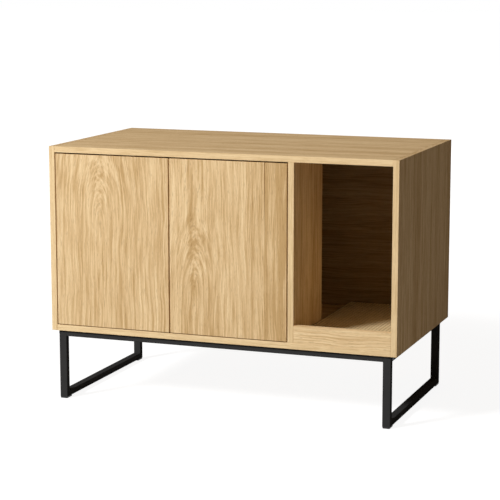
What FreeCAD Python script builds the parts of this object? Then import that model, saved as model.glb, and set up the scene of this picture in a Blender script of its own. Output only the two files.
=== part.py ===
import FreeCAD, Part
import math
import os

# Cat litter box cabinet: a wooden carcass with two push-to-open doors, an open niche at its right end,
# and a steel tube base. Millimetres, origin on the floor under the middle, +X right, +Y back, +Z up.

Vector = FreeCAD.Vector

# ---- overall sizes ----
width = 900.0
depth = 500.0
carcass_height = 466.0
base_height = 177.0

# ---- boards ----
board = 15.0
edge_radius = 0.8
niche_width = 242.0
divider_depth = 219.0
sill_height = 43.0
back_thickness = 5.0
back_inset = 10.0
groove_depth = 7.0
groove_clearance = 0.2

# ---- doors ----
door_side_gap = 2.7
door_split_gap = 3.2
door_top_gap = 3.4
door_bottom_gap = 2.0

# ---- scratching mat ----
mat_thickness = 18.0
mat_depth = 440.0
mat_side_clearance = 2.0
mat_corner_radius = 6.0

# ---- base frame ----
tube_width = 20.0
tube_height = 15.0
tube_wall = 1.5
tube_corner_radius = 1.5
frame_side_inset = 16.0
frame_front_inset = 7.0
frame_rear_inset = 20.0
foot_pad_height = 4.0
foot_pad_length = 26.0
foot_pad_margin = 1.0
foot_pad_chamfer = 1.0
foot_pad_peg_radius = 3.0
foot_pad_peg_length = 5.0
plug_length = 25.0
plug_clearance = 0.1
rail_bolt_radius = 3.0
rail_bolt_head_radius = 5.5
rail_bolt_head_height = 3.0
rail_bolt_crown_radius = 1.5
rail_bolt_grip = 18.0
rail_bolt_key_radius = 1.8
rail_bolt_key_depth = 2.0
rail_screw_spacing = 300.0
side_screw_from_dowel = 28.0
frame_screw_radius = 2.25
frame_screw_bite = 12.0
frame_screw_point = 3.0
frame_screw_head_radius = 4.5
frame_screw_crown_radius = 3.6
frame_screw_head_height = 2.2
frame_screw_access_radius = 5.5

# ---- cam fittings and dowels ----
wood_under_fittings = 2.5
cam_radius = 7.45
cam_distance = 34.0
cam_driver_length = 8.0
cam_driver_width = 1.2
cam_driver_depth = 1.5
cam_bolt_radius = 3.2
cam_neck_radius = 2.2
cam_head_radius = 3.5
cam_head_length = 3.5
cam_thread_radius = 2.5
cam_thread_length = 11.0
cam_front_inset = 60.0
cam_rear_inset = 80.0
divider_cam_spacing = 100.0
dowel_radius = 4.0
dowel_in_face = 10.0
dowel_in_edge = 20.0
dowel_pitch = 32.0
sill_dowel_inset = 12.0
bolt_hole_clearance = 0.3

# ---- hinges, in the hinge's own frame: x from the board that carries it, y back from the front face ----
hinge_end_distance = 80.0
pin_from_edge = 16.0
pin_from_front = 7.0
pin_radius = 1.5
pin_length = 26.0
cup_radius = 17.45
cup_tab = 5.0
cup_floor = 1.0
cup_cavity_radius = 16.5
cup_cavity_width = 15.6
cup_flange_thickness = 1.2
cup_flange_radius = 19.0
cup_screw_spacing = 45.0
cup_screw_offset = 9.5
cup_screw_radius = 1.75
cup_screw_length = 11.0
cup_screw_head_radius = 3.4
cup_ear_radius = 5.9
arm_thickness = 2.5
arm_width = 14.0
arm_eye_radius = 2.9
arm_end = 88.0
arm_channel_start = 44.0
arm_lip_thickness = 1.4
arm_height = 8.5
arm_bend_radius = 5.0
arm_bend_reach = 12.5
arm_bend_rise = 1.5
arm_crank_reach = 16.0
arm_crank_depth = 22.0
arm_return_depth = 26.5
plate_thickness = 2.0
plate_screw_depth = 57.0
plate_screw_spacing = 32.0
plate_screw_radius = 2.5
plate_screw_length = 12.0
plate_screw_head_radius = 4.6
plate_wing_radius = 7.0
arm_screw_radius = 2.0
arm_screw_head_radius = 4.0
arm_screw_head_height = 2.0
arm_screw_slot_width = 1.2
adjusting_screw_depth = 50.0
clamp_screw_depth = 76.0

# ---- push latches ----
latch_from_split = 28.0
latch_width = 15.0
latch_length = 62.0
latch_height = 18.0
latch_axis_drop = 11.5
latch_barrel_radius = 4.6
latch_wing_width = 34.0
latch_wing_length = 14.0
latch_wing_thickness = 2.5
latch_wing_start = 24.0
latch_wing_corner_radius = 3.5
latch_screw_spacing = 25.0
latch_screw_radius = 1.75
latch_screw_bite = 9.0
latch_screw_head_radius = 3.4
plunger_radius = 4.0
plunger_length = 40.0
plunger_standout = 5.0
plunger_travel = 2.5
plunger_chamfer = 0.6
magnet_thickness = 2.0
spring_room = 9.0
strike_width = 18.0
strike_height = 14.0
strike_thickness = 1.5
strike_corner_radius = 2.0
strike_screw_length = 11.0
strike_gap = 0.3

# ---- fits ----
running_clearance = 0.06
snug_clearance = 0.02
screw_hole_spare = 0.5
screw_point_radius = 0.3
screw_point_ratio = 1.5

# ---- places worked out from the sizes above ----
half_width = width / 2
front = -depth / 2
rear = depth / 2
carcass_bottom = base_height
carcass_top = base_height + carcass_height
inner_side = half_width - board
floor_top = carcass_bottom + board
roof = carcass_top - board
board_back = front + board
divider_right = inner_side - niche_width
divider_left = divider_right - board
divider_rear = front + divider_depth
opening_width = divider_left + inner_side
door_width = (opening_width - 2 * door_side_gap - door_split_gap) / 2
door_bottom = floor_top + door_bottom_gap
door_top = roof - door_top_gap
split = (divider_left - inner_side) / 2
back_rear = rear - back_inset
back_front = back_rear - back_thickness
frame_outer = half_width - frame_side_inset
frame_inner = frame_outer - tube_width
frame_front = front + frame_front_inset
frame_rear = rear - frame_rear_inset
cam_depth = board - wood_under_fittings
cup_depth = board - wood_under_fittings
front_cam_row = front + cam_front_inset
rear_cam_row = rear - cam_rear_inset
side_screw_front = front_cam_row + dowel_pitch + side_screw_from_dowel
side_screw_rear = rear_cam_row - dowel_pitch - side_screw_from_dowel
rail_bottom = base_height - tube_height
rail_middle = base_height - tube_height / 2
pin_x = door_side_gap + pin_from_edge
cup_x = door_side_gap + cup_tab + cup_radius
hinge_levels = (door_bottom + hinge_end_distance, door_top - hinge_end_distance)
latch_front = board_back + strike_thickness + strike_gap + magnet_thickness + plunger_standout
latch_axis = roof - latch_axis_drop

X_AXIS = Vector(1, 0, 0)
Y_AXIS = Vector(0, 1, 0)
Z_AXIS = Vector(0, 0, 1)

# two edges or levels closer than this count as one when edges are picked
coincidence = 0.01

drilled = {}
nodes = {}


# ---- small helpers ----
def box(x0, x1, y0, y1, z0, z1):
    """A block between two corners, given in any order."""
    corner = Vector(min(x0, x1), min(y0, y1), min(z0, z1))
    return Part.makeBox(abs(x1 - x0), abs(y1 - y0), abs(z1 - z0), corner)


def soft_box(x0, x1, y0, y1, z0, z1):
    """A board with every edge a little rounded, as edge banding leaves it."""
    block = box(x0, x1, y0, y1, z0, z1)
    return block.makeFillet(edge_radius, block.Edges)


def rod(start, direction, radius, length):
    return Part.makeCylinder(radius, length, start, direction)


def fused(shapes):
    first, rest = shapes[0], list(shapes[1:])
    if not rest:
        return first
    return first.fuse(rest).removeSplitter()


def keep(node, solid):
    """Add one solid to a node."""
    nodes.setdefault(node, []).append(solid)


def drill(node, tool):
    """Remember a hole for a node; it is cut when the node is made."""
    drilled.setdefault(node, []).append(tool)


def keep_drilled(node, solid):
    """Add a solid to a node after cutting every hole that was drilled in it."""
    tools = drilled.get(node, [])
    keep(node, solid.cut(tools) if tools else solid)


def facing(origin, x_direction, z_direction):
    """The placement that turns a fitting's own x and z to the given directions."""
    y_direction = z_direction.cross(x_direction)
    turn = FreeCAD.Rotation(x_direction, y_direction, z_direction, "XYZ")
    return FreeCAD.Placement(origin, turn)


def placed(shape, placement):
    copy = shape.copy()
    copy.Placement = placement
    return copy


def turned(points, start, direction):
    """A solid turned about its axis from (radius, distance) points, both ends on the axis."""
    corners = [Vector(radius, 0, distance) for radius, distance in points]
    outline = Part.makePolygon(corners + corners[:1])
    body = Part.Face(outline).revolve(Vector(0, 0, 0), Z_AXIS, 360)
    solid = Part.makeSolid(body) if body.ShapeType == "Shell" else body
    return placed(solid, FreeCAD.Placement(start, FreeCAD.Rotation(Z_AXIS, direction)))


def flat_screw(start, direction, radius, head_radius, length):
    """A countersunk screw whose head is flush with start and whose point lies along direction."""
    head = head_radius - radius
    point_start = length - screw_point_ratio * radius
    point = screw_point_radius
    outline = [(0, 0), (head_radius, 0), (radius, head), (radius, point_start), (point, length), (0, length)]
    return turned(outline, start, direction)


def screw_hole(start, direction, radius, head_radius, length):
    """The hole that a countersunk screw fills, a little wider all round."""
    wide = snug_clearance
    return flat_screw(start, direction, radius + wide, head_radius + wide, length + screw_hole_spare)


def bent_strip(corners, bend_radius, thickness):
    """The flat outline of a strip of metal bent along a line of corners in the XY plane."""
    edges = []
    start = corners[0]
    for before, corner, after in zip(corners, corners[1:], corners[2:]):
        inward = (before - corner).normalize()
        onward = (after - corner).normalize()
        half_turn = inward.getAngle(onward) / 2
        reach = bend_radius / math.tan(half_turn)
        enter = corner + inward * reach
        leave = corner + onward * reach
        bisector = (inward + onward).normalize()
        centre = corner + bisector * (bend_radius / math.sin(half_turn))
        middle = centre - bisector * bend_radius
        edges.append(Part.LineSegment(start, enter).toShape())
        edges.append(Part.Arc(enter, middle, leave).toShape())
        start = leave
    edges.append(Part.LineSegment(start, corners[-1]).toShape())
    return Part.Wire(edges).makeOffset2D(thickness / 2, 0, True, True)


# ---- joints between boards ----
def cam_joint(face_board, edge_board, placement):
    """A cam lock in the edge board and its bolt in the face board; the joint plane is the fitting's x = 0."""
    mouth = board / 2
    drum = rod(Vector(cam_distance, 0, mouth), -Z_AXIS, cam_radius, cam_depth)
    head_end = cam_distance + cam_head_length / 2
    head_start = head_end - cam_head_length
    slack = bolt_hole_clearance
    neck_room = cam_neck_radius + slack
    head_room = cam_head_radius + slack
    neck_start = cam_distance - cam_radius - slack
    neck_slot = box(neck_start, head_start, -neck_room, neck_room, -neck_room, neck_room)
    head_pocket = box(head_start - slack, head_end + slack, -head_room, head_room, -head_room, head_room)
    reach = cam_driver_length / 2
    half = cam_driver_width / 2
    driver_floor = mouth - cam_driver_depth
    driver_slot = box(cam_distance - reach, cam_distance + reach, -half, half, driver_floor, mouth)
    driver_cross = box(cam_distance - half, cam_distance + half, -reach, reach, driver_floor, mouth)
    lock = drum.cut([neck_slot, head_pocket, driver_slot, driver_cross])
    thread = rod(Vector(-cam_thread_length, 0, 0), X_AXIS, cam_thread_radius, cam_thread_length)
    shank = rod(Vector(0, 0, 0), X_AXIS, cam_bolt_radius, neck_start)
    neck = rod(Vector(neck_start, 0, 0), X_AXIS, cam_neck_radius, head_start - neck_start)
    head = rod(Vector(head_start, 0, 0), X_AXIS, cam_head_radius, cam_head_length)
    bolt = fused([thread, shank, neck, head])
    drum_hole = rod(Vector(cam_distance, 0, mouth), -Z_AXIS, cam_radius + snug_clearance, cam_depth)
    shank_hole = rod(Vector(0, 0, 0), X_AXIS, cam_bolt_radius + slack, cam_distance)
    thread_hole = rod(Vector(0, 0, 0), -X_AXIS, cam_thread_radius + snug_clearance, cam_thread_length)
    keep("cam_locks", placed(lock, placement))
    keep("cam_bolts", placed(bolt, placement))
    drill(edge_board, placed(drum_hole, placement))
    drill(edge_board, placed(shank_hole, placement))
    drill(face_board, placed(thread_hole, placement))


def dowel_joint(face_board, edge_board, placement):
    """A wooden dowel across a joint plane, deeper in the edge board than in the face board."""
    length = dowel_in_face + dowel_in_edge
    start = Vector(-dowel_in_face, 0, 0)
    peg = rod(start, X_AXIS, dowel_radius, length)
    hole = rod(start, X_AXIS, dowel_radius + snug_clearance, length)
    keep("wooden_dowels", placed(peg, placement))
    drill(edge_board, placed(hole, placement))
    drill(face_board, placed(hole, placement))


def join_carcass():
    """Fittings between the side panels and the top and bottom panels."""
    rows = ((front_cam_row, 1), (rear_cam_row, -1))
    levels = ((carcass_top - board / 2, "top_panel"), (carcass_bottom + board / 2, "bottom_panel"))
    for side, side_board in ((-1, "left_side_panel"), (1, "right_side_panel")):
        for level, edge_board in levels:
            for row, inward in rows:
                origin = Vector(side * inner_side, row, level)
                place = facing(origin, Vector(-side, 0, 0), -Z_AXIS)
                cam_joint(side_board, edge_board, place)
                peg_origin = origin + Vector(0, inward * dowel_pitch, 0)
                dowel_joint(side_board, edge_board, facing(peg_origin, Vector(-side, 0, 0), -Z_AXIS))


def join_divider():
    """Fittings at the divider's two ends; their cams open into the litter chamber."""
    middle = (divider_left + divider_right) / 2
    for level, inward, face_board in ((roof, -Z_AXIS, "top_panel"), (floor_top, Z_AXIS, "bottom_panel")):
        for row in (front_cam_row, front_cam_row + divider_cam_spacing):
            cam_joint(face_board, "divider_panel", facing(Vector(middle, row, level), inward, -X_AXIS))
        peg_row = front_cam_row + divider_cam_spacing / 2
        dowel_joint(face_board, "divider_panel", facing(Vector(middle, peg_row, level), inward, -X_AXIS))


def join_sill():
    """Two dowels at each end of the sill."""
    middle = front + board / 2
    ends = ((divider_right, X_AXIS, "divider_panel"), (inner_side, -X_AXIS, "right_side_panel"))
    for x, inward, face_board in ends:
        for level in (floor_top + sill_dowel_inset, floor_top + sill_height - sill_dowel_inset):
            dowel_joint(face_board, "niche_sill", facing(Vector(x, middle, level), inward, Z_AXIS))


# ---- carcass ----
def cut_back_groove():
    """One groove round the inside of the carcass takes the back panel."""
    reach = groove_depth
    slack = groove_clearance / 2
    ring = box(-inner_side - reach, inner_side + reach, back_front - slack, back_rear + slack,
               floor_top - reach, roof + reach)
    for name in ("left_side_panel", "right_side_panel", "top_panel", "bottom_panel"):
        drill(name, ring)


def make_boards():
    """The carcass boards, with their edge banding's small rounding, and the back panel."""
    for side, name in ((-1, "left_side_panel"), (1, "right_side_panel")):
        near = side * inner_side
        far = side * half_width
        keep_drilled(name, soft_box(near, far, front, rear, carcass_bottom, carcass_top))
    for name, low in (("bottom_panel", carcass_bottom), ("top_panel", roof)):
        keep_drilled(name, soft_box(-inner_side, inner_side, front, rear, low, low + board))
    keep_drilled("divider_panel", soft_box(divider_left, divider_right, front, divider_rear, floor_top, roof))
    sill_top = floor_top + sill_height
    keep_drilled("niche_sill", soft_box(divider_right, inner_side, front, board_back, floor_top, sill_top))
    tongue = groove_depth - groove_clearance
    reach = inner_side + tongue
    keep("back_panel", box(-reach, reach, back_front, back_rear, floor_top - tongue, roof + tongue))


def make_mat():
    """The woven mat that lies on the niche floor."""
    left = divider_right + mat_side_clearance
    right = inner_side - mat_side_clearance
    start = board_back + mat_side_clearance
    mat = box(left, right, start, start + mat_depth, floor_top, floor_top + mat_thickness)
    uprights = [edge for edge in mat.Edges if edge.tangentAt(0).isParallel(Z_AXIS, coincidence)]
    keep("scratching_mat", mat.makeFillet(mat_corner_radius, uprights))


# ---- base frame ----
def tube_ring(outer, inner):
    """A closed rectangle of tube in the YZ plane, from its outer and inner blocks."""
    ring = outer.cut(inner)
    long_edges = [edge for edge in ring.Edges if not edge.tangentAt(0).isParallel(X_AXIS, coincidence)]
    return ring.makeFillet(tube_corner_radius, long_edges)


def make_side_frames():
    """Each end of the base is a closed rectangle of mitred and welded tube, hollow all the way round."""
    for side, name in ((-1, "left_leg_frame"), (1, "right_leg_frame")):
        near = side * frame_inner
        far = side * frame_outer
        outer = box(near, far, frame_front, frame_rear, foot_pad_height, base_height)
        window = box(near, far, frame_front + tube_height, frame_rear - tube_height,
                     foot_pad_height + tube_height, rail_bottom)
        wall = tube_wall
        hollow_outer = box(near + side * wall, far - side * wall, frame_front + wall, frame_rear - wall,
                           foot_pad_height + wall, base_height - wall)
        hollow_inner = box(near, far, frame_front + tube_height - wall, frame_rear - tube_height + wall,
                           foot_pad_height + tube_height - wall, rail_bottom + wall)
        frame = tube_ring(outer, window).cut(hollow_outer.cut(hollow_inner))
        keep_drilled(name, frame)


def make_cross_rails():
    """The front and rear rails lie between the side frames, with a plug in each end."""
    wall = tube_wall
    for name, start in (("front_rail", frame_front), ("rear_rail", frame_rear - tube_width)):
        end = start + tube_width
        tube = box(-frame_inner, frame_inner, start, end, rail_bottom, base_height)
        long_edges = [edge for edge in tube.Edges if edge.tangentAt(0).isParallel(X_AXIS, coincidence)]
        tube = tube.makeFillet(tube_corner_radius, long_edges)
        low = start + wall
        high = end - wall
        bore = box(-frame_inner, frame_inner, low, high, rail_bottom + wall, base_height - wall)
        keep_drilled(name, tube.cut(bore))
        middle = (start + end) / 2
        for side in (-1, 1):
            make_rail_end(side, low, high, middle)


def make_rail_end(side, low_y, high_y, middle):
    """The threaded plug in a rail's end and the bolt through the side frame that holds it."""
    slack = plug_clearance
    low_z = rail_bottom + tube_wall + slack
    high_z = base_height - tube_wall - slack
    plug_end = side * (frame_inner - plug_length)
    plug = box(side * frame_inner, plug_end, low_y + slack, high_y - slack, low_z, high_z)
    tube_face = Vector(side * frame_outer, middle, rail_middle)
    inward = Vector(-side, 0, 0)
    crown = tube_face - inward * rail_bolt_head_height
    reach = tube_width + rail_bolt_grip
    bolt_hole = rod(tube_face, inward, rail_bolt_radius + snug_clearance, reach)
    head = rod(crown, inward, rail_bolt_head_radius, rail_bolt_head_height)
    rim = [edge for edge in head.Edges if edge.Closed and abs(edge.CenterOfMass.x - crown.x) < coincidence]
    head = head.makeFillet(rail_bolt_crown_radius, rim)
    key_socket = rod(crown, inward, rail_bolt_key_radius, rail_bolt_key_depth)
    shank = rod(tube_face, inward, rail_bolt_radius, reach)
    keep("rail_end_plugs", plug.cut(bolt_hole))
    keep("rail_bolts", fused([head, shank]).cut(key_socket))
    drill("left_leg_frame" if side < 0 else "right_leg_frame", bolt_hole)


def frame_screw(rail, x, y):
    """A screw from inside a rail up into the bottom panel; a hole in the rail's lower wall lets it in."""
    start = Vector(x, y, base_height - tube_wall)
    length = tube_wall + frame_screw_bite
    crown = -frame_screw_head_height
    point_start = length - frame_screw_point
    head = [(0, crown), (frame_screw_crown_radius, crown), (frame_screw_head_radius, 0)]
    shank = [(frame_screw_radius, 0), (frame_screw_radius, point_start)]
    point = [(screw_point_radius, length), (0, length)]
    hole = rod(start, Z_AXIS, frame_screw_radius + snug_clearance, length + screw_hole_spare)
    keep("frame_screws", turned(head + shank + point, start, Z_AXIS))
    drill(rail, hole)
    drill(rail, rod(Vector(x, y, rail_bottom), Z_AXIS, frame_screw_access_radius, tube_wall))
    drill("bottom_panel", hole)


def fasten_base():
    """Three screws through each cross rail, and two through each side frame between the dowels."""
    for rail, y in (("front_rail", frame_front + tube_width / 2), ("rear_rail", frame_rear - tube_width / 2)):
        for step in (-1, 0, 1):
            frame_screw(rail, step * rail_screw_spacing, y)
    for side, rail in ((-1, "left_leg_frame"), (1, "right_leg_frame")):
        for y in (side_screw_front, side_screw_rear):
            frame_screw(rail, side * (frame_outer + frame_inner) / 2, y)


def make_foot_pads():
    """A pad under each end of the floor rails, held by a peg in the tube."""
    for side, name in ((-1, "left_leg_frame"), (1, "right_leg_frame")):
        x = side * (frame_outer + frame_inner) / 2
        half = tube_width / 2 - foot_pad_margin
        reach = foot_pad_length / 2
        for y in (frame_front + foot_pad_margin + reach, frame_rear - foot_pad_margin - reach):
            pad = box(x - half, x + half, y - reach, y + reach, 0, foot_pad_height)
            lower = [edge for edge in pad.Edges if edge.BoundBox.ZMax < coincidence]
            pad = pad.makeChamfer(foot_pad_chamfer, lower)
            root = Vector(x, y, foot_pad_height)
            peg = rod(root, Z_AXIS, foot_pad_peg_radius, foot_pad_peg_length)
            keep("foot_pads", fused([pad, peg]))
            drill(name, rod(root, Z_AXIS, foot_pad_peg_radius + snug_clearance, foot_pad_peg_length))


# ---- hinges ----
def hinge_cup():
    """The die-cast cup: a drum with a slot for the arm, and a flange on the door's back."""
    floor = board - cup_depth
    centre = Vector(cup_x, floor, 0)
    drum = rod(centre, Y_AXIS, cup_radius, cup_depth)
    flange = rod(Vector(cup_x, board, 0), Y_AXIS, cup_flange_radius, cup_flange_thickness)
    screw_x = cup_x + cup_screw_offset
    reach = cup_screw_spacing / 2
    ears = []
    for end in (-1, 1):
        ears.append(rod(Vector(screw_x, board, end * reach), Y_AXIS, cup_ear_radius, cup_flange_thickness))
    flange_top = board + cup_flange_thickness
    bridge = box(screw_x - cup_ear_radius, screw_x + cup_ear_radius, board, flange_top, -reach, reach)
    body = fused([drum, flange, bridge] + ears)
    room = rod(Vector(cup_x, floor + cup_floor, 0), Y_AXIS, cup_cavity_radius, board)
    slot = box(0, 2 * cup_x, 0, 2 * board, -cup_cavity_width / 2, cup_cavity_width / 2)
    pin_foot = Vector(pin_x, pin_from_front, -pin_length / 2)
    pin_hole = rod(pin_foot, Z_AXIS, pin_radius + snug_clearance, pin_length)
    return body.cut([room.common(slot), pin_hole] + cup_screw_shapes(screw_hole))


def cup_screw_shapes(maker):
    """The two cup screws, or their holes, made by the given function."""
    x = cup_x + cup_screw_offset
    y = board + cup_flange_thickness
    starts = [Vector(x, y, end * cup_screw_spacing / 2) for end in (-1, 1)]
    return [maker(start, -Y_AXIS, cup_screw_radius, cup_screw_head_radius, cup_screw_length)
            for start in starts]


def cup_bore():
    """The hole in the door that takes the cup."""
    return rod(Vector(cup_x, board - cup_depth, 0), Y_AXIS, cup_radius + snug_clearance, cup_depth)


def hinge_arm():
    """The cranked arm: an eye on the pin, a hook out of the cup, and a channel along the board."""
    pin = Vector(pin_x, pin_from_front, 0)
    first_bend = pin + Vector(arm_bend_reach, arm_bend_rise, 0)
    crank = pin + Vector(arm_crank_reach, arm_crank_depth, 0)
    landing = Vector(arm_height, pin_from_front + arm_return_depth, 0)
    corners = [pin, first_bend, crank, landing, Vector(arm_height, arm_end, 0)]
    strip = bent_strip(corners, arm_bend_radius, arm_thickness).extrude(Vector(0, 0, arm_width))
    strip.translate(Vector(0, 0, -arm_width / 2))
    eye_foot = Vector(pin_x, pin_from_front, -arm_width / 2)
    eye = rod(eye_foot, Z_AXIS, arm_eye_radius, arm_width)
    lips = []
    lip_foot = plate_thickness + snug_clearance
    for end in (-1, 1):
        edge = end * arm_width / 2
        inside = edge - end * arm_lip_thickness
        lips.append(box(lip_foot, arm_height, arm_channel_start, arm_end, edge, inside))
    eye_hole = rod(eye_foot, Z_AXIS, pin_radius + running_clearance, arm_width)
    return fused([strip, eye] + lips).cut([eye_hole] + arm_screw_shapes(snug_clearance, 0))


def arm_screw_shapes(clearance, head_height):
    """The adjusting and clamp screws through the arm, or their holes where no head is asked for."""
    face = arm_height + arm_thickness / 2
    shapes = []
    for y in (adjusting_screw_depth, clamp_screw_depth):
        length = face - plate_thickness
        shank = rod(Vector(face, y, 0), -X_AXIS, arm_screw_radius + clearance, length)
        if head_height:
            radius = arm_screw_head_radius
            half = arm_screw_slot_width / 2
            head = rod(Vector(face, y, 0), X_AXIS, radius, head_height)
            slot = box(face + head_height / 2, face + head_height, y - radius, y + radius, -half, half)
            shank = fused([shank, head]).cut(slot)
        shapes.append(shank)
    return shapes


def hinge_plate():
    """The mounting plate: two screwed wings and a rail that the arm's channel sits on."""
    wings = []
    reach = plate_screw_spacing / 2
    for end in (-1, 1):
        middle = Vector(0, plate_screw_depth, end * reach)
        wings.append(rod(middle, X_AXIS, plate_wing_radius, plate_thickness))
    bar_start = plate_screw_depth - plate_wing_radius
    bar = box(0, plate_thickness, bar_start, bar_start + 2 * plate_wing_radius, -reach, reach)
    base = box(0, plate_thickness, arm_channel_start, arm_end, -arm_width / 2, arm_width / 2)
    rail_half = arm_width / 2 - arm_lip_thickness - running_clearance
    arm_underside = arm_height - arm_thickness / 2
    rail = box(plate_thickness, arm_underside, arm_channel_start, arm_end, -rail_half, rail_half)
    holes = arm_screw_shapes(snug_clearance, 0) + plate_screw_shapes(screw_hole)
    return fused([base, bar, rail] + wings).cut(holes)


def plate_screw_shapes(maker):
    """The two screws that hold a mounting plate, or their holes."""
    starts = [Vector(plate_thickness, plate_screw_depth, end * plate_screw_spacing / 2) for end in (-1, 1)]
    return [maker(start, -X_AXIS, plate_screw_radius, plate_screw_head_radius, plate_screw_length)
            for start in starts]


def hinge_pin():
    """The pin across the cup that the arm's eye turns on."""
    return rod(Vector(pin_x, pin_from_front, -pin_length / 2), Z_AXIS, pin_radius, pin_length)


def at_hinge(shape, side, face, level):
    """Take a shape from the hinge's frame to its place; the right door's hinges are mirrored."""
    copy = shape.copy() if side < 0 else shape.mirror(Vector(0, 0, 0), X_AXIS)
    copy.translate(Vector(face, front, level))
    return copy


def make_hinges():
    """Two hinges on each door: the left door hangs on the left side, the right door on the divider."""
    moulds = {"arms": hinge_arm(), "plates": hinge_plate(), "cups": hinge_cup(), "pins": hinge_pin()}
    bore = cup_bore()
    doors = ((-1, "left", -inner_side, "left_side_panel"), (1, "right", divider_left, "divider_panel"))
    for side, hand, face, carrier in doors:
        for level in hinge_levels:
            for kind, shape in moulds.items():
                keep(hand + "_hinge_" + kind, at_hinge(shape, side, face, level))
            drill(hand + "_door_panel", at_hinge(bore, side, face, level))
            for screw in arm_screw_shapes(0, arm_screw_head_height):
                keep("hinge_arm_screws", at_hinge(screw, side, face, level))
            for screw, hole in zip(plate_screw_shapes(flat_screw), plate_screw_shapes(screw_hole)):
                keep("hinge_plate_screws", at_hinge(screw, side, face, level))
                drill(carrier, at_hinge(hole, side, face, level))
            for screw, hole in zip(cup_screw_shapes(flat_screw), cup_screw_shapes(screw_hole)):
                keep(hand + "_cup_screws", at_hinge(screw, side, face, level))
                drill(hand + "_door_panel", at_hinge(hole, side, face, level))


# ---- push latches ----
def make_latches():
    """A push latch behind each door's meeting edge, screwed under the top panel."""
    for side, hand in ((-1, "left"), (1, "right")):
        x = split + side * latch_from_split
        make_latch_housing(x)
        make_plunger(hand, x)
        make_strike(hand, x)


def make_latch_housing(x):
    """The latch body under the roof: a rounded barrel, a screwed wing and the plunger's bore."""
    half = latch_width / 2
    barrel = box(x - half, x + half, latch_front, latch_front + latch_length, roof - latch_height, roof)
    lower = [edge for edge in barrel.Edges
             if edge.tangentAt(0).isParallel(Y_AXIS, coincidence) and edge.BoundBox.ZMax < latch_axis]
    barrel = barrel.makeFillet(latch_barrel_radius, lower)
    wing_start = latch_front + latch_wing_start
    wing_end = wing_start + latch_wing_length
    wing_half = latch_wing_width / 2
    wing_face = roof - latch_wing_thickness
    wing = box(x - wing_half, x + wing_half, wing_start, wing_end, wing_face, roof)
    corners = [edge for edge in wing.Edges if edge.tangentAt(0).isParallel(Z_AXIS, coincidence)]
    wing = wing.makeFillet(latch_wing_corner_radius, corners)
    mouth = Vector(x, latch_front, latch_axis)
    bore_depth = plunger_length - plunger_standout + plunger_travel + spring_room
    bore = rod(mouth, Y_AXIS, plunger_radius + running_clearance, bore_depth)
    holes = []
    length = latch_wing_thickness + latch_screw_bite
    for end in (-1, 1):
        start = Vector(x + end * latch_screw_spacing / 2, (wing_start + wing_end) / 2, wing_face)
        keep("latch_screws", flat_screw(start, Z_AXIS, latch_screw_radius, latch_screw_head_radius, length))
        hole = screw_hole(start, Z_AXIS, latch_screw_radius, latch_screw_head_radius, length)
        holes.append(hole)
        drill("top_panel", hole)
    keep("latch_housings", fused([barrel, wing]).cut([bore] + holes))


def make_plunger(hand, x):
    """The plunger that the door is pressed against, and the magnet in its tip."""
    tip = latch_front - plunger_standout
    stem = rod(Vector(x, tip, latch_axis), Y_AXIS, plunger_radius, plunger_length)
    tail = [edge for edge in stem.Edges if edge.Closed and edge.CenterOfMass.y > tip + plunger_length / 2]
    stem = stem.makeChamfer(plunger_chamfer, tail)
    magnet = rod(Vector(x, tip - magnet_thickness, latch_axis), Y_AXIS, plunger_radius, magnet_thickness)
    keep(hand + "_latch_plunger", stem)
    keep(hand + "_latch_magnet", magnet)


def make_strike(hand, x):
    """The steel plate on the door's back that the magnet holds."""
    face = board_back + strike_thickness
    low = latch_axis - strike_height / 2
    plate = box(x - strike_width / 2, x + strike_width / 2, board_back, face, low, low + strike_height)
    corners = [edge for edge in plate.Edges if edge.tangentAt(0).isParallel(Y_AXIS, coincidence)]
    plate = plate.makeFillet(strike_corner_radius, corners)
    start = Vector(x, face, latch_axis)
    screw = (start, -Y_AXIS, latch_screw_radius, latch_screw_head_radius, strike_screw_length)
    hole = screw_hole(*screw)
    keep(hand + "_strike_plate", plate.cut(hole))
    keep(hand + "_strike_screw", flat_screw(*screw))
    drill(hand + "_door_panel", hole)


def make_doors():
    """Two flush doors without handles, side by side between the left side and the divider."""
    left = -inner_side + door_side_gap
    for name in ("left_door_panel", "right_door_panel"):
        keep_drilled(name, soft_box(left, left + door_width, front, board_back, door_bottom, door_top))
        left += door_width + door_split_gap


# ---- build and write ----
join_carcass()
join_divider()
join_sill()
cut_back_groove()
make_hinges()
make_latches()
fasten_base()
make_foot_pads()
make_cross_rails()
make_boards()
make_doors()
make_side_frames()
make_mat()

os.makedirs("parts", exist_ok=True)
for node, solids in nodes.items():
    pieces = [solid for shape in solids for solid in shape.Solids]
    whole = pieces[0] if len(pieces) == 1 else Part.makeCompound(pieces)
    whole.exportStep("parts/" + node + ".step")
    print(node, len(pieces), "solid(s), volume", round(whole.Volume / 1000, 1), "cm3, valid", whole.isValid())
print(len(nodes), "nodes")
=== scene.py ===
import math
from collections import namedtuple

import bmesh
import bpy
from bpy.props import FloatProperty, FloatVectorProperty, PointerProperty
from mathutils import Matrix, Vector


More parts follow.
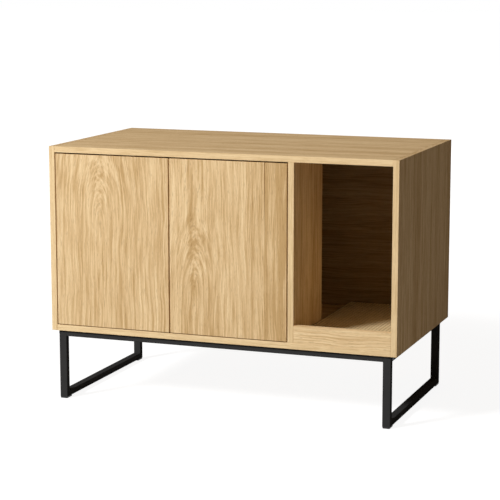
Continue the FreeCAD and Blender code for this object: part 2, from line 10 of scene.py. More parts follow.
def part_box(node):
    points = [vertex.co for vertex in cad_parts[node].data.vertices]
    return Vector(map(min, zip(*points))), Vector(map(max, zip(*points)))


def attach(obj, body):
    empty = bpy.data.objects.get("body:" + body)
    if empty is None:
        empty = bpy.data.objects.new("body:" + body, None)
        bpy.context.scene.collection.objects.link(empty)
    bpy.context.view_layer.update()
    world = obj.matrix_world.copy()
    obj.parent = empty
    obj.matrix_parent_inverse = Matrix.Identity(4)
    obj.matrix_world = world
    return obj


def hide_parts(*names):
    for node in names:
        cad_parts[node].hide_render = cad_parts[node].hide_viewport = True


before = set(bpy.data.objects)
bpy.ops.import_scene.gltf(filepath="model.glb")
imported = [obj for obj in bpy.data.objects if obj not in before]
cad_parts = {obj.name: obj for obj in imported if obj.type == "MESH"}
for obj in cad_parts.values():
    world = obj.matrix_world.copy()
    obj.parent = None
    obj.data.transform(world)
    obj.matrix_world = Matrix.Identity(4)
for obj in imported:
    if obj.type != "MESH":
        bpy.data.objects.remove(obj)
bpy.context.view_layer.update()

bl_info = {
    "name": "Cat litter box cabinet",
    "version": (1, 0, 0),
    "blender": (4, 5, 0),
    "location": "View3D > Sidebar > Cabinet",
    "description": "Finishes the boards, base, fittings and scratching mat of a litter box cabinet",
    "category": "Object",
}

MM = 0.001
BACK_LOW, BACK_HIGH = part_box("back_panel")
MAT_LOW, MAT_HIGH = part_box("scratching_mat")
X_AXIS = Vector((1, 0, 0))
Y_AXIS = Vector((0, 1, 0))
Z_AXIS = Vector((0, 0, 1))

# the photograph's camera, worked out from the cabinet's edges in it; angles in radians, lens in mm
CAMERA_PLACE = Vector((1.5073, -4.1103, 1.1061))
CAMERA_YAW = 0.3536
CAMERA_PITCH = 0.1670
CAMERA_LENS = 125.24
SENSOR_WIDTH = 36.0

# the lamps: where each hangs and how wide it is (m), and the point that both face
KEY_PLACE = Vector((-3.84, -5.65, 4.56))
KEY_SIZE = 1.5
BACK_PLACE = Vector((0.9, 6.0, 0.9))
BACK_SIZE = 3.0
LAMP_AIM = Vector((0, 0, 0.4))

# the floor as the camera sees it: its glow rises from GLOW_STRENGTH at GLOW_NEAR (m) from the middle to full
# white at GLOW_FAR, and a grey under it takes the lamps' light, so that the cabinet's shadow stays
FLOOR_HALF_SIDE = 30.0  # m
GLOW_NEAR, GLOW_FAR = 0.9, 2.2
GLOW_STRENGTH = 0.9
SHADOW_GREY = 0.24

# streaks in the printed grain: width and length (mm), octaves of noise, how strongly they show and whether
# they follow the arches; the finest come last, and their darkest points are the pores
STREAKS = {
    "broad": (75, 1600, 1, 0.8, False),
    "bands": (22, 900, 2, 0.8, False),
    "streaks": (5.0, 250, 2, 1.35, True),
    "lines": (2.2, 75, 3, 1.9, True),
    "pores": (1.5, 16, 1, 0.45, True),
}
SWAY_CELL = 167  # mm, over which the streaks wander once
INNER_ARCH = 10 * MM  # reach of the innermost arch to each side of the heart
LEG_SHIFT = 0.3  # keeps the two legs of an arch from mirroring each other
PORE_START, PORE_FULL = 0.54, 0.72  # noise at which a pore begins and is at its darkest
PORE_SHARE = 0.35  # of the pore colour there

# the seam between two leaves of veneer
LEAF_STEP = -0.4  # how much darker the further leaf is printed
CRACK_HALF_WIDTH = 1.1 * MM
CRACK_FOOT, CRACK_TOP = 0.42, 0.56  # heights between which the crack fades in
CRACK_SHARE = 0.9

BANDING_SHARE = 0.4  # of the banding colour over the board's print
BANDING_THICKNESS = 1 * MM

# the mat's mesh
POINTS_PER_YARN = 7
RIM_DROP = 1.2 * MM
UNDERSIDE_GAP = 0.3 * MM
YARN_LOW = 0.35  # height of a yarn where it passes under, as a share of its full height

# how a board's print lies on it: directions across and along the grain, where the heart line is across,
# where its arches begin and close along, the noise seed, where a leaf of veneer ends (m), and how light the
# print is, from 0 to 1
Figure = namedtuple("Figure", "across along heart foot top seed seam tone", defaults=[None, 0.5])


# ---- small tools ----
def linear(code):
    """The linear colour of an sRGB hex code."""
    channels = []
    for start in (0, 2, 4):
        value = int(code[start:start + 2], 16) / 255
        channels.append(value / 12.92 if value <= 0.04045 else ((value + 0.055) / 1.055) ** 2.4)
    return tuple(channels)


def opaque(colour):
    return (colour[0], colour[1], colour[2], 1.0)


def cells(width):
    """The noise scale whose cells are this wide in millimetres."""
    return 1 / (width * MM)


def add(tree, kind, inputs=None, **settings):
    """Add a shader node with its settings; an input is a value, a node's first output, or (node, output)."""
    node = tree.nodes.new("ShaderNode" + kind)
    for name, value in settings.items():
        setattr(node, name, value)
    for socket, value in (inputs or {}).items():
        has_output = isinstance(value, tuple) and isinstance(value[0], bpy.types.Node)
        source, output = value if has_output else (value, 0)
        if isinstance(source, bpy.types.Node):
            tree.links.new(source.outputs[output], node.inputs[socket])
        else:
            node.inputs[socket].default_value = value
    return node


def new_material(name):
    material = bpy.data.materials.new(name)
    material.use_nodes = True
    material.node_tree.nodes.clear()
    return material, material.node_tree


def finish_nodes(names, material):
    """Give CAD nodes a material; their shapes stay as they are."""
    for name in names:
        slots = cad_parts[name].data.materials
        slots.clear()
        slots.append(material)


# ---- materials ----
def oak_print(tree, figure, settings):
    """Nodes of a printed oak. Its streaks follow the growth rings: they run straight along the grain, and
    near the heart line they close into arches. Returns the colour and the depth of the embossed pores."""
    turn = Matrix((figure.across, figure.along.cross(figure.across), figure.along)).to_euler()
    coords = add(tree, "TexCoord")
    place = add(tree, "Mapping", {"Vector": (coords, "Object"), "Rotation": turn,
                                  "Location": (-figure.heart, 0, 0)})
    bend = add(tree, "TexNoise",
               {"Vector": place, "W": figure.seed, "Scale": cells(SWAY_CELL), "Detail": 2.0},
               noise_dimensions="4D")
    bent = add(tree, "Math", {0: bend, 1: 0.5}, operation="SUBTRACT")
    parts = add(tree, "SeparateXYZ", {0: place})
    across = add(tree, "Math", {0: bent, 1: settings.sway, 2: parts}, operation="MULTIPLY_ADD")
    lift = add(tree, "MapRange",
               {0: (parts, 2), 1: figure.foot, 2: figure.top, 3: INNER_ARCH, 4: settings.arch},
               interpolation_type="SMOOTHSTEP")
    from_heart = add(tree, "CombineXYZ", {0: across, 1: lift})
    ring = add(tree, "VectorMath", {0: from_heart}, operation="LENGTH")
    side = add(tree, "Math", {0: across, 1: LEG_SHIFT, 2: (parts, 1)}, operation="MULTIPLY_ADD")
    arched = add(tree, "CombineXYZ", {0: (ring, "Value"), 1: side, 2: (parts, 2)})
    tone = figure.tone
    for width, length, octaves, strength, follows in STREAKS.values():
        counts = (cells(width), cells(width), cells(length))
        grain = arched if follows else place
        scaled = add(tree, "VectorMath", {0: grain, 1: counts}, operation="MULTIPLY")
        noise = add(tree, "TexNoise", {"Vector": scaled, "W": figure.seed, "Scale": 1.0, "Detail": octaves},
                    noise_dimensions="4D")
        centred = add(tree, "Math", {0: noise, 1: 0.5}, operation="SUBTRACT")
        contrast = strength * settings.variation
        tone = add(tree, "Math", {0: centred, 1: contrast, 2: tone}, operation="MULTIPLY_ADD")
    pores = add(tree, "MapRange", {0: noise, 1: PORE_START, 2: PORE_FULL}, interpolation_type="SMOOTHSTEP")
    share = add(tree, "Math", {0: pores, 1: PORE_SHARE}, operation="MULTIPLY")
    if figure.seam is not None:
        tone, crack = veneer_seam(tree, place, figure.seam - figure.heart, tone)
        share = add(tree, "Math", {0: share, 1: crack}, operation="MAXIMUM")
    colour = add(tree, "ValToRGB", {0: tone})
    stops = colour.color_ramp.elements
    stops[0].color = opaque(settings.dark)
    stops[1].color = opaque(settings.light)
    stops.new(0.5).color = opaque(settings.middle)
    printed = add(tree, "Mix", {0: share, 6: colour, 7: opaque(settings.pore)}, data_type="RGBA")
    return (printed, 2), pores


def veneer_seam(tree, place, seam, tone):
    """Where two leaves of the printed veneer meet, the further one is a little darker, past a thin crack
    that fades out down the door. Returns the tone and how much of the crack shows."""
    parts = add(tree, "SeparateXYZ", {0: place})
    leaf = add(tree, "MapRange", {0: parts, 1: seam - MM, 2: seam + MM, 3: 0.0, 4: LEAF_STEP})
    stepped = add(tree, "Math", {0: tone, 1: leaf}, operation="ADD")
    line = add(tree, "Math", {0: parts, 1: seam, 2: CRACK_HALF_WIDTH}, operation="COMPARE")
    fade = add(tree, "MapRange", {0: (parts, 2), 1: CRACK_FOOT, 2: CRACK_TOP, 3: 0.0, 4: CRACK_SHARE})
    return stepped, add(tree, "Math", {0: line, 1: fade}, operation="MULTIPLY")


def edge_banding(tree, printed, front, settings):
    """A paler and plainer printed strip glued on a board's front edge; front is the edge's place (m)."""
    coords = add(tree, "TexCoord")
    place = add(tree, "SeparateXYZ", {0: (coords, "Object")})
    strip = add(tree, "Math", {0: (place, 1), 1: front + BANDING_THICKNESS}, operation="LESS_THAN")
    share = add(tree, "Math", {0: strip, 1: BANDING_SHARE}, operation="MULTIPLY")
    banded = add(tree, "Mix", {0: share, 6: printed, 7: opaque(settings.banding)}, data_type="RGBA")
    return banded, 2


def oak_laminate(name, figure, settings, banded_front=None):
    """Chipboard faced with dead-matt melamine paper, printed as light oak and embossed with its pores.
    The eye gets a warm, straight-grained board without gloss, with a quiet cathedral figure in some."""
    material, tree = new_material(name)
    colour, pores = oak_print(tree, figure, settings)
    if banded_front is not None:
        colour = edge_banding(tree, colour, banded_front, settings)
    bump = add(tree, "Bump", {"Strength": 0.3, "Distance": 0.1 * MM, "Height": pores}, invert=True)
    roughness = add(tree, "MapRange", {0: pores, 3: 0.52, 4: 0.7})
    shader = add(tree, "BsdfPrincipled", {"Base Color": colour, "Roughness": roughness, "Normal": bump,
                                          "Specular IOR Level": 0.0})
    add(tree, "OutputMaterial", {0: shader})
    return material


def printed_hardboard(name, figure, settings):
    """Hardboard with an oak print on its inner face, multiplied darker: partly a duller print and partly
    painted shade at the back of the niche. Its outer face is bare brown pressed fibre. The eye gets a darker,
    lengthways grain in the niche and a plain fuzzy brown from behind."""
    material, tree = new_material(name)
    colour, pores = oak_print(tree, figure, settings)
    # painted shade: the print is multiplied by a grey beige so that the back of the niche reads darker,
    # partly as a duller print and partly as the niche's shade
    print_darkened_with_painted_shade = add(tree, "Mix", {0: 1.0, 6: colour, 7: opaque(linear("BDB7B0"))}, data_type="RGBA",
                 blend_type="MULTIPLY")
    bump = add(tree, "Bump", {"Strength": 0.2, "Distance": 0.1 * MM, "Height": pores}, invert=True)
    face = add(tree, "BsdfPrincipled", {"Base Color": (print_darkened_with_painted_shade, 2), "Roughness": 0.6, "Normal": bump,
                                        "Specular IOR Level": 0.0})
    coords = add(tree, "TexCoord")
    fibre = add(tree, "TexNoise", {"Vector": (coords, "Object"), "Scale": cells(3), "Detail": 4.0})
    blotch = add(tree, "TexNoise", {"Vector": (coords, "Object"), "Scale": cells(70), "Detail": 2.0})
    mottled = add(tree, "Mix", {0: blotch, 6: opaque(settings.fibre), 7: opaque(linear("93704B"))},
                  data_type="RGBA")
    brown = add(tree, "Mix", {0: fibre, 6: (mottled, 2), 7: opaque(linear("7A5936"))}, data_type="RGBA")
    fuzz = add(tree, "Bump", {"Strength": 0.5, "Distance": 0.15 * MM, "Height": fibre})
    bare = add(tree, "BsdfPrincipled", {"Base Color": (brown, 2), "Roughness": 0.8, "Normal": fuzz,
                                        "Specular IOR Level": 0.2})
    depth = add(tree, "SeparateXYZ", {0: (coords, "Object")})
    outside = add(tree, "Math", {0: (depth, 1), 1: (BACK_LOW.y + BACK_HIGH.y) / 2}, operation="GREATER_THAN")
    both = add(tree, "MixShader", {0: outside, 1: face, 2: bare})
    add(tree, "OutputMaterial", {0: both})
    return material


def powder_coat(settings):
    """Polyester powder baked on mild steel tube: dead-matt black with a fine orange peel, so that lit faces
    read as dark grey and the others as black."""
    material, tree = new_material("matt_black_powder_coat_on_steel")
    coords = add(tree, "TexCoord")
    peel = add(tree, "TexNoise", {"Vector": (coords, "Object"), "Scale": cells(1.1), "Detail": 2.0})
    cloud = add(tree, "TexNoise", {"Vector": (coords, "Object"), "Scale": cells(33), "Detail": 2.0})
    lighter = tuple(channel * 1.3 for channel in settings.powder)
    colour = add(tree, "Mix", {0: cloud, 6: opaque(settings.powder), 7: opaque(lighter)}, data_type="RGBA")
    bump = add(tree, "Bump", {"Strength": 0.3, "Distance": 0.05 * MM, "Height": peel})
    roughness = add(tree, "MapRange", {0: peel, 3: 0.48, 4: 0.62})
    shader = add(tree, "BsdfPrincipled", {"Base Color": (colour, 2), "Roughness": roughness, "Normal": bump,
                                          "Specular IOR Level": 0.0})
    add(tree, "OutputMaterial", {0: shader})
    return material


def moulded_plastic(name, colour, roughness):
    """Injection-moulded plastic from a spark-eroded tool: an even colour under a fine grain that takes the
    shine off it. The real grain is about 0.1 mm; it is drawn at 0.5 mm so that it shows."""
    material, tree = new_material(name)
    coords = add(tree, "TexCoord")
    grain = add(tree, "TexNoise", {"Vector": (coords, "Object"), "Scale": cells(0.5), "Detail": 1.0})
    darker = tuple(channel * 0.85 for channel in colour)
    shade = add(tree, "Mix", {0: grain, 6: opaque(colour), 7: opaque(darker)}, data_type="RGBA")
    bump = add(tree, "Bump", {"Strength": 0.2, "Distance": 0.03 * MM, "Height": grain})
    shader = add(tree, "BsdfPrincipled", {"Base Color": (shade, 2), "Roughness": roughness, "Normal": bump})
    add(tree, "OutputMaterial", {0: shader})
    return material


def plated_metal(name, colour, roughness, mark):
    """Drawn, pressed or cast metal under a thin bright plating; mark is the size in millimetres, along each
    axis, of its tool marks. The eye gets fine lines or dimples in a soft metallic gloss. Real marks are a few
    times finer; these are coarse enough to show."""
    material, tree = new_material(name)
    coords = add(tree, "TexCoord")
    scaled = add(tree, "VectorMath", {0: (coords, "Object"), 1: [cells(length) for length in mark]},
                 operation="MULTIPLY")
    marks = add(tree, "TexNoise", {"Vector": scaled, "Scale": 1.0, "Detail": 3.0})
    darker = tuple(channel * 0.78 for channel in colour)
    shade = add(tree, "Mix", {0: marks, 6: opaque(colour), 7: opaque(darker)}, data_type="RGBA")
    uneven = add(tree, "MapRange", {0: marks, 3: roughness - 0.06, 4: roughness + 0.1})
    bump = add(tree, "Bump", {"Strength": 0.15, "Distance": 0.02 * MM, "Height": marks})
    shader = add(tree, "BsdfPrincipled", {"Base Color": (shade, 2), "Metallic": 1.0, "Roughness": uneven,
                                          "Normal": bump})
    add(tree, "OutputMaterial", {0: shader})
    return material


def turned_beech():
    """Beech turned into pegs and left bare: a pale pink-brown with short darker rays."""
    material, tree = new_material("turned_beech")
    coords = add(tree, "TexCoord")
    rays = add(tree, "TexNoise", {"Vector": (coords, "Object"), "Scale": cells(1.1), "Detail": 2.0})
    colour = add(tree, "Mix", {0: rays, 6: opaque(linear("DDBE95")), 7: opaque(linear("B98F62"))},
                 data_type="RGBA")
    shader = add(tree, "BsdfPrincipled", {"Base Color": (colour, 2), "Roughness": 0.65})
    add(tree, "OutputMaterial", {0: shader})
    return material


def woven_sisal(settings):
    """Undyed sisal yarn woven over and under: dry straw-coloured fibre, with painted shade in the gaps
    between the yarns that deepens the lower a point lies. A fibre is about 0.2 mm thick; it is drawn at 0.7
    mm so that it shows."""
    material, tree = new_material("woven_sisal")
    coords = add(tree, "TexCoord")
    fibres = add(tree, "TexNoise", {"Vector": (coords, "Object"), "Scale": cells(0.7), "Detail": 3.0})
    patches = add(tree, "TexNoise", {"Vector": (coords, "Object"), "Scale": cells(22), "Detail": 2.0})
    height = add(tree, "SeparateXYZ", {0: (coords, "Object")})
    # painted shade: below the yarns' tops the colour is mixed towards a dark brown, darker the lower a point
    # lies, in the gaps and down the mat's sides
    raised = add(tree, "MapRange", {0: (height, 2), 1: MAT_HIGH.z - settings.relief * 1.1, 2: MAT_HIGH.z})
    yarn = add(tree, "Mix", {0: patches, 6: opaque(settings.straw), 7: opaque(settings.straw_dark)},
               data_type="RGBA")
    fibred = add(tree, "Mix", {0: fibres, 6: (yarn, 2), 7: opaque(settings.straw_dark)}, data_type="RGBA")
    colour = add(tree, "Mix", {0: raised, 6: opaque(linear("5E4A2C")), 7: (fibred, 2)}, data_type="RGBA")
    bump = add(tree, "Bump", {"Strength": 0.6, "Distance": 0.2 * MM, "Height": fibres})
    shader = add(tree, "BsdfPrincipled", {"Base Color": (colour, 2), "Roughness": 0.9, "Normal": bump,
                                          "Specular IOR Level": 0.2})
    add(tree, "OutputMaterial", {0: shader})
    return material


# ---- sizes and colours that a user would change ----
class CabinetFinish(bpy.types.PropertyGroup):
    """Colours of the boards and the base"""
    light: FloatVectorProperty(name="Light oak", description="Palest streaks of the printed grain",
                               subtype="COLOR", size=3, min=0, max=1, default=linear("EDD2A5"))
    middle: FloatVectorProperty(name="Middle oak", description="Body colour of the printed grain",
                                subtype="COLOR", size=3, min=0, max=1, default=linear("DDBE90"))
    dark: FloatVectorProperty(name="Dark oak", description="Darkest streaks of the printed grain",
                              subtype="COLOR", size=3, min=0, max=1, default=linear("C19F6E"))
    pore: FloatVectorProperty(name="Pores", description="Short dark pore lines",
                              subtype="COLOR", size=3, min=0, max=1, default=linear("876337"))
    variation: FloatProperty(name="Grain contrast", description="How strongly the streaks show",
                             min=0, max=3, default=1.2)
    sway: FloatProperty(name="Sway", description="How far the streaks wander from straight",
                        unit="LENGTH", min=0, max=60 * MM, default=24 * MM)
    arch: FloatProperty(name="Arch", description="Reach of the arches to each side of the heart",
                        unit="LENGTH", min=10 * MM, max=200 * MM, default=48 * MM)
    banding: FloatVectorProperty(name="Edge banding", description="Plain print on the boards' front edges",
                                 subtype="COLOR", size=3, min=0, max=1, default=linear("F0D6A8"))
    powder: FloatVectorProperty(name="Powder coat", description="Colour of the steel base",
                                subtype="COLOR", size=3, min=0, max=1, default=linear("333333"))
    fibre: FloatVectorProperty(name="Hardboard", description="Bare fibre on the outside of the back panel",
                               subtype="COLOR", size=3, min=0, max=1, default=linear("A9845B"))


class MatSettings(bpy.types.PropertyGroup):
    """Weave and colours of the scratching mat"""
    pitch: FloatProperty(name="Yarn pitch", description="Distance between yarns",
                         unit="LENGTH", min=2 * MM, max=16 * MM, default=9 * MM)
    relief: FloatProperty(name="Weave relief", description="Height of a yarn over its gaps",
                          unit="LENGTH", min=0.2 * MM, max=5 * MM, default=3.4 * MM)
    border: FloatProperty(name="Rounded rim", description="Width of the mat's rounded rim",
                          unit="LENGTH", min=MM, max=12 * MM, default=4 * MM)
    straw: FloatVectorProperty(name="Sisal", description="Pale sisal yarn",
                               subtype="COLOR", size=3, min=0, max=1, default=linear("F2E0BA"))
    straw_dark: FloatVectorProperty(name="Sisal shade", description="Darker sisal fibres",
                                    subtype="COLOR", size=3, min=0, max=1, default=linear("CDB487"))


class StageSettings(bpy.types.PropertyGroup):
    """Lights and floor"""
    key: FloatProperty(name="Key light", description="Power of the large lamp at the front left",
                       subtype="POWER", min=0, max=5000, default=690.0)
    back: FloatProperty(name="Back light", description="Power of the low lamp behind the cabinet",
                        subtype="POWER", min=0, max=5000, default=120.0)
    ambient: FloatProperty(name="Ambient", description="Strength of the even light from all round",
                           min=0, max=2, default=0.11)
    ambient_tint: FloatVectorProperty(name="Ambient tint", description="Colour of the light from all round",
                                      subtype="COLOR", size=3, min=0, max=1, default=linear("FFDCB9"))
    floor: FloatVectorProperty(name="Floor", description="Colour of the pale floor",
                               subtype="COLOR", size=3, min=0, max=1, default=(0.4, 0.4, 0.4))


# ---- boards ----
class CABINET_OT_boards(bpy.types.Operator):
    """Print the oak grain on every board of the carcass"""
    bl_idname = "cabinet.boards"
    bl_label = "Carcass boards"

    def execute(self, context):
        settings = context.scene.cabinet_finish
        boards = (
            ("oak_laminate_top", "top_panel", Figure(Y_AXIS, X_AXIS, 0.40, 0.0, 0.3, 1.3)),
            ("oak_laminate_bottom", "bottom_panel", Figure(Y_AXIS, X_AXIS, -0.40, 0.0, 0.3, 2.9)),
            ("oak_laminate_left_side", "left_side_panel", Figure(Y_AXIS, Z_AXIS, -0.05, 0.25, 0.45, 4.1)),
            ("oak_laminate_right_side", "right_side_panel", Figure(Y_AXIS, Z_AXIS, 0.42, 0.25, 0.4, 5.7)),
            ("oak_laminate_divider", "divider_panel", Figure(Y_AXIS, Z_AXIS, -0.42, 0.2, 0.4, 7.3)),
        )
        for name, board, figure in boards:
            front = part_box(board)[0].y
            finish_nodes([board], oak_laminate(name, figure, settings, banded_front=front))
        sill = Figure(Z_AXIS, X_AXIS, 0.42, 0.2, 0.4, 9.6, tone=0.78)
        finish_nodes(["niche_sill"], oak_laminate("oak_laminate_sill", sill, settings))
        return {"FINISHED"}


class CABINET_OT_doors(bpy.types.Operator):
    """Print the upright oak grain on the two doors, each with its own figure"""
    bl_idname = "cabinet.doors"
    bl_label = "Doors"

    def execute(self, context):
        settings = context.scene.cabinet_finish
        left = Figure(X_AXIS, Z_AXIS, -0.315, 0.46, 0.66, 11.2)
        right = Figure(X_AXIS, Z_AXIS, -0.062, 0.28, 0.5, 13.9, seam=0.119)
        finish_nodes(["left_door_panel"], oak_laminate("oak_laminate_left_door", left, settings))
        finish_nodes(["right_door_panel"], oak_laminate("oak_laminate_right_door", right, settings))
        return {"FINISHED"}


class CABINET_OT_back(bpy.types.Operator):
    """Finish the back panel: print inside, bare hardboard outside"""
    bl_idname = "cabinet.back"
    bl_label = "Back panel"

    def execute(self, context):
        settings = context.scene.cabinet_finish
        figure = Figure(Z_AXIS, X_AXIS, 0.8, 0.0, 0.3, 17.1)
        back = printed_hardboard("printed_hardboard_back", figure, settings)
        finish_nodes(["back_panel"], back)
        return {"FINISHED"}


# ---- base and fittings ----
class CABINET_OT_base(bpy.types.Operator):
    """Coat the tube base and finish its pads, plugs, bolts and screws"""
    bl_idname = "cabinet.base"
    bl_label = "Steel base"

    def execute(self, context):
        tubes = ["left_leg_frame", "right_leg_frame", "front_rail", "rear_rail"]
        finish_nodes(tubes, powder_coat(context.scene.cabinet_finish))
        nylon = moulded_plastic("moulded_black_nylon", linear("1A1A1A"), 0.55)
        finish_nodes(["foot_pads", "rail_end_plugs"], nylon)
        screws = plated_metal("turned_black_oxide_steel", linear("35363A"), 0.4, (3.3, 3.3, 0.7))
        finish_nodes(["rail_bolts", "frame_screws"], screws)
        return {"FINISHED"}


class CABINET_OT_fittings(bpy.types.Operator):
    """Finish the cams, bolts and dowels that hold the boards together"""
    bl_idname = "cabinet.fittings"
    bl_label = "Board fittings"

    def execute(self, context):
        cast = plated_metal("tumbled_zinc_die_casting", linear("A9ABAD"), 0.45, (1.1, 1.1, 1.1))
        finish_nodes(["cam_locks"], cast)
        turned = plated_metal("zinc_plated_bolt_steel", linear("B9BBBE"), 0.3, (3.3, 0.7, 0.7))
        finish_nodes(["cam_bolts"], turned)
        finish_nodes(["wooden_dowels"], turned_beech())
        return {"FINISHED"}


class CABINET_OT_hinges(bpy.types.Operator):
    """Finish the hinges' arms, plates, cups, pins and screws"""
    bl_idname = "cabinet.hinges"
    bl_label = "Hinges"

    def execute(self, context):
        pressed = plated_metal("nickel_plated_pressed_steel", linear("C4C2BC"), 0.28, (0.8, 17, 0.8))
        cast = plated_metal("nickel_plated_die_casting", linear("C9C8C4"), 0.32, (1.3, 1.3, 1.3))
        turned = plated_metal("zinc_plated_screw_steel", linear("BFC1C4"), 0.3, (0.7, 3.3, 0.7))
        for hand in ("left", "right"):
            finish_nodes([hand + "_hinge_arms", hand + "_hinge_plates", hand + "_strike_plate"], pressed)
            finish_nodes([hand + "_hinge_cups"], cast)
            finish_nodes([hand + "_hinge_pins", hand + "_cup_screws", hand + "_strike_screw"], turned)
        finish_nodes(["hinge_arm_screws", "hinge_plate_screws"], turned)
        return {"FINISHED"}


class CABINET_OT_latches(bpy.types.Operator):
    """Finish the push latches under the top panel"""
    bl_idname = "cabinet.latches"
    bl_label = "Push latches"

    def execute(self, context):
        finish_nodes(["latch_housings"], moulded_plastic("moulded_grey_abs", linear("8E8F90"), 0.5))
        screws = plated_metal("zinc_plated_latch_screws", linear("BFC1C4"), 0.3, (0.7, 0.7, 3.3))
        finish_nodes(["latch_screws"], screws)
        stem = moulded_plastic("moulded_white_acetal", linear("E4E2DC"), 0.35)
        magnet = plated_metal("nickel_plated_magnet", linear("C8C8C8"), 0.22, (1.4, 1.4, 1.4))
        for hand in ("left", "right"):
            finish_nodes([hand + "_latch_plunger"], stem)
            finish_nodes([hand + "_latch_magnet"], magnet)
        return {"FINISHED"}


# ---- mat ----
def mesh_object(name, build, material):
    """An object whose mesh is made by build, smooth-shaded, with one material."""
    shape = bmesh.new()
    build(shape)
    mesh = bpy.data.meshes.new(name)
    shape.to_mesh(mesh)
    shape.free()
    mesh.materials.append(material)
    for face in mesh.polygons:
        face.use_smooth = True
    piece = bpy.data.objects.new(name, mesh)
    bpy.context.scene.collection.objects.link(piece)
    return piece


class CABINET_OT_mat(bpy.types.Operator):
    """Weave the scratching mat that lies in the niche"""
    bl_idname = "cabinet.mat"
    bl_label = "Scratching mat"

    def execute(self, context):
        settings = context.scene.cabinet_mat

        def build(shape):
            self.weave(shape, settings)

        mat = mesh_object("scratching_mat_weave", build, woven_sisal(settings))
        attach(mat, "cabinet")
        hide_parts("scratching_mat")
        return {"FINISHED"}

    def weave(self, shape, settings):
        """A grid over the mat's box, raised by round yarns that pass over and under each other, lowered at
        the rim and closed below."""
        pitch, relief, border = settings.pitch, settings.relief, settings.border
        size = MAT_HIGH - MAT_LOW
        centre = (MAT_LOW + MAT_HIGH) / 2
        columns = int(size.x / pitch * POINTS_PER_YARN)
        rows = int(size.y / pitch * POINTS_PER_YARN)
        # a square of side 1, which the loop stretches to the mat
        bmesh.ops.create_grid(shape, x_segments=columns, y_segments=rows, size=0.5)
        for vertex in shape.verts:
            x = vertex.co.x * size.x
            y = vertex.co.y * size.y
            raised = max(self.yarn(x / pitch, y / pitch, 0), self.yarn(y / pitch, x / pitch, 1))
            inside = min(size.x / 2 - abs(x), size.y / 2 - abs(y)) / border
            rim = max(0.0, 1 - inside) ** 2
            drop = relief * (1 - raised) + RIM_DROP * rim
            vertex.co = Vector((centre.x + x, centre.y + y, MAT_HIGH.z - drop))
        edges = [edge for edge in shape.edges if edge.is_boundary]
        skirt = bmesh.ops.extrude_edge_only(shape, edges=edges)["geom"]
        for item in skirt:
            if isinstance(item, bmesh.types.BMVert):
                item.co.z = MAT_LOW.z + UNDERSIDE_GAP
        bmesh.ops.holes_fill(shape, edges=[edge for edge in shape.edges if edge.is_boundary], sides=0)
        bmesh.ops.recalc_face_normals(shape, faces=shape.faces)

    def yarn(self, across, along, start):
        """Height, 0 to 1, of the yarn under a point counted in yarns; every other yarn starts by passing
        over."""
        number = math.floor(across)
        roundness = math.sqrt(1 - (2 * (across - number) - 1) ** 2)
        over = 0.5 + 0.5 * math.sin(math.pi * (along + number + start))
        return roundness * (YARN_LOW + (1 - YARN_LOW) * over)


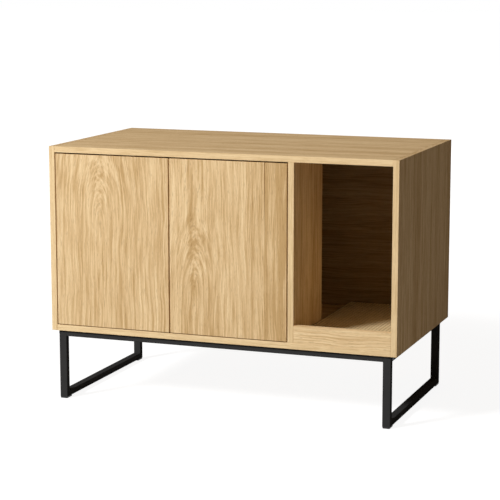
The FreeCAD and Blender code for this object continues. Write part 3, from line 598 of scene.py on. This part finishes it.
# ---- stage ----
class CABINET_OT_stage(bpy.types.Operator):
    """Set the floor, the world, the lamps and the camera"""
    bl_idname = "cabinet.stage"
    bl_label = "Stage"

    def execute(self, context):
        scene = context.scene
        settings = scene.cabinet_stage
        self.lay_floor(settings)
        self.set_world(scene, settings)
        self.hang_lamp("back", BACK_PLACE, BACK_SIZE, settings.back)
        self.hang_lamp("key", KEY_PLACE, KEY_SIZE, settings.key)
        camera_data = bpy.data.cameras.new("camera")
        camera_data.lens = CAMERA_LENS
        camera_data.sensor_width = SENSOR_WIDTH
        camera = bpy.data.objects.new("camera", camera_data)
        camera.location = CAMERA_PLACE
        camera.rotation_euler = (math.pi / 2 - CAMERA_PITCH, 0.0, CAMERA_YAW)
        scene.collection.objects.link(camera)
        scene.camera = camera
        scene.view_settings.view_transform = "Standard"
        return {"FINISHED"}

    def seen_ray(self, tree):
        """A value of 1 for the rays that show the background: from the camera, a reflection or glass."""
        path = add(tree, "LightPath")
        seen = add(tree, "Math", {0: (path, "Is Camera Ray"), 1: (path, "Is Glossy Ray")},
                   operation="MAXIMUM")
        return add(tree, "Math", {0: seen, 1: (path, "Is Transmission Ray")}, operation="MAXIMUM")

    def lay_floor(self, settings):
        """A pale floor that shows white, with the cabinet's faint shadow kept near it."""
        material, tree = new_material("pale_floor")
        matt = add(tree, "BsdfDiffuse", {"Color": opaque(settings.floor)})
        coords = add(tree, "TexCoord")
        away = add(tree, "VectorMath", {0: (coords, "Object")}, operation="LENGTH")
        glow = add(tree, "MapRange",
                   {0: (away, "Value"), 1: GLOW_NEAR, 2: GLOW_FAR, 3: GLOW_STRENGTH, 4: 1.0})
        white = add(tree, "Emission", {"Strength": glow})
        trace = add(tree, "BsdfDiffuse", {"Color": opaque([SHADOW_GREY] * 3)})
        shown = add(tree, "AddShader", {0: white, 1: trace})
        both = add(tree, "MixShader", {0: self.seen_ray(tree), 1: matt, 2: shown})
        add(tree, "OutputMaterial", {0: both})

        def plane(shape):
            bmesh.ops.create_grid(shape, x_segments=1, y_segments=1, size=FLOOR_HALF_SIDE)

        mesh_object("floor", plane, material)

    def set_world(self, scene, settings):
        world = bpy.data.worlds.new("studio")
        world.use_nodes = True
        tree = world.node_tree
        tree.nodes.clear()
        even = add(tree, "Background", {"Color": opaque(settings.ambient_tint), "Strength": settings.ambient})
        white = add(tree, "Background", {"Color": (1, 1, 1, 1), "Strength": 1.0})
        both = add(tree, "MixShader", {0: self.seen_ray(tree), 1: even, 2: white})
        add(tree, "OutputWorld", {0: both})
        scene.world = world

    def hang_lamp(self, name, place, size, power):
        """A square area lamp aimed at the middle of the cabinet."""
        data = bpy.data.lights.new(name, "AREA")
        data.size = size
        data.energy = power
        lamp = bpy.data.objects.new(name, data)
        lamp.location = place
        lamp.rotation_euler = (LAMP_AIM - place).to_track_quat("-Z", "Y").to_euler()
        bpy.context.scene.collection.objects.link(lamp)


class CABINET_PT_panel(bpy.types.Panel):
    """Lists the cabinet's sizes, colours and steps"""
    bl_label = "Litter box cabinet"
    bl_idname = "CABINET_PT_panel"
    bl_space_type = "VIEW_3D"
    bl_region_type = "UI"
    bl_category = "Cabinet"

    def draw(self, context):
        scene = context.scene
        for settings in (scene.cabinet_finish, scene.cabinet_mat, scene.cabinet_stage):
            for name in settings.__annotations__:
                self.layout.prop(settings, name)
        for step in STEPS:
            self.layout.operator(step.bl_idname)


STEPS = (CABINET_OT_boards, CABINET_OT_doors, CABINET_OT_back, CABINET_OT_base, CABINET_OT_fittings,
         CABINET_OT_hinges, CABINET_OT_latches, CABINET_OT_mat, CABINET_OT_stage)
CLASSES = (CabinetFinish, MatSettings, StageSettings) + STEPS + (CABINET_PT_panel,)


def register():
    for item in CLASSES:
        bpy.utils.register_class(item)
    bpy.types.Scene.cabinet_finish = PointerProperty(type=CabinetFinish)
    bpy.types.Scene.cabinet_mat = PointerProperty(type=MatSettings)
    bpy.types.Scene.cabinet_stage = PointerProperty(type=StageSettings)


def unregister():
    del bpy.types.Scene.cabinet_stage
    del bpy.types.Scene.cabinet_mat
    del bpy.types.Scene.cabinet_finish
    for item in reversed(CLASSES):
        bpy.utils.unregister_class(item)


def main():
    register()
    for step in STEPS:
        group, name = step.bl_idname.split(".")
        getattr(getattr(bpy.ops, group), name)()


if __name__ == "__main__":
    main()
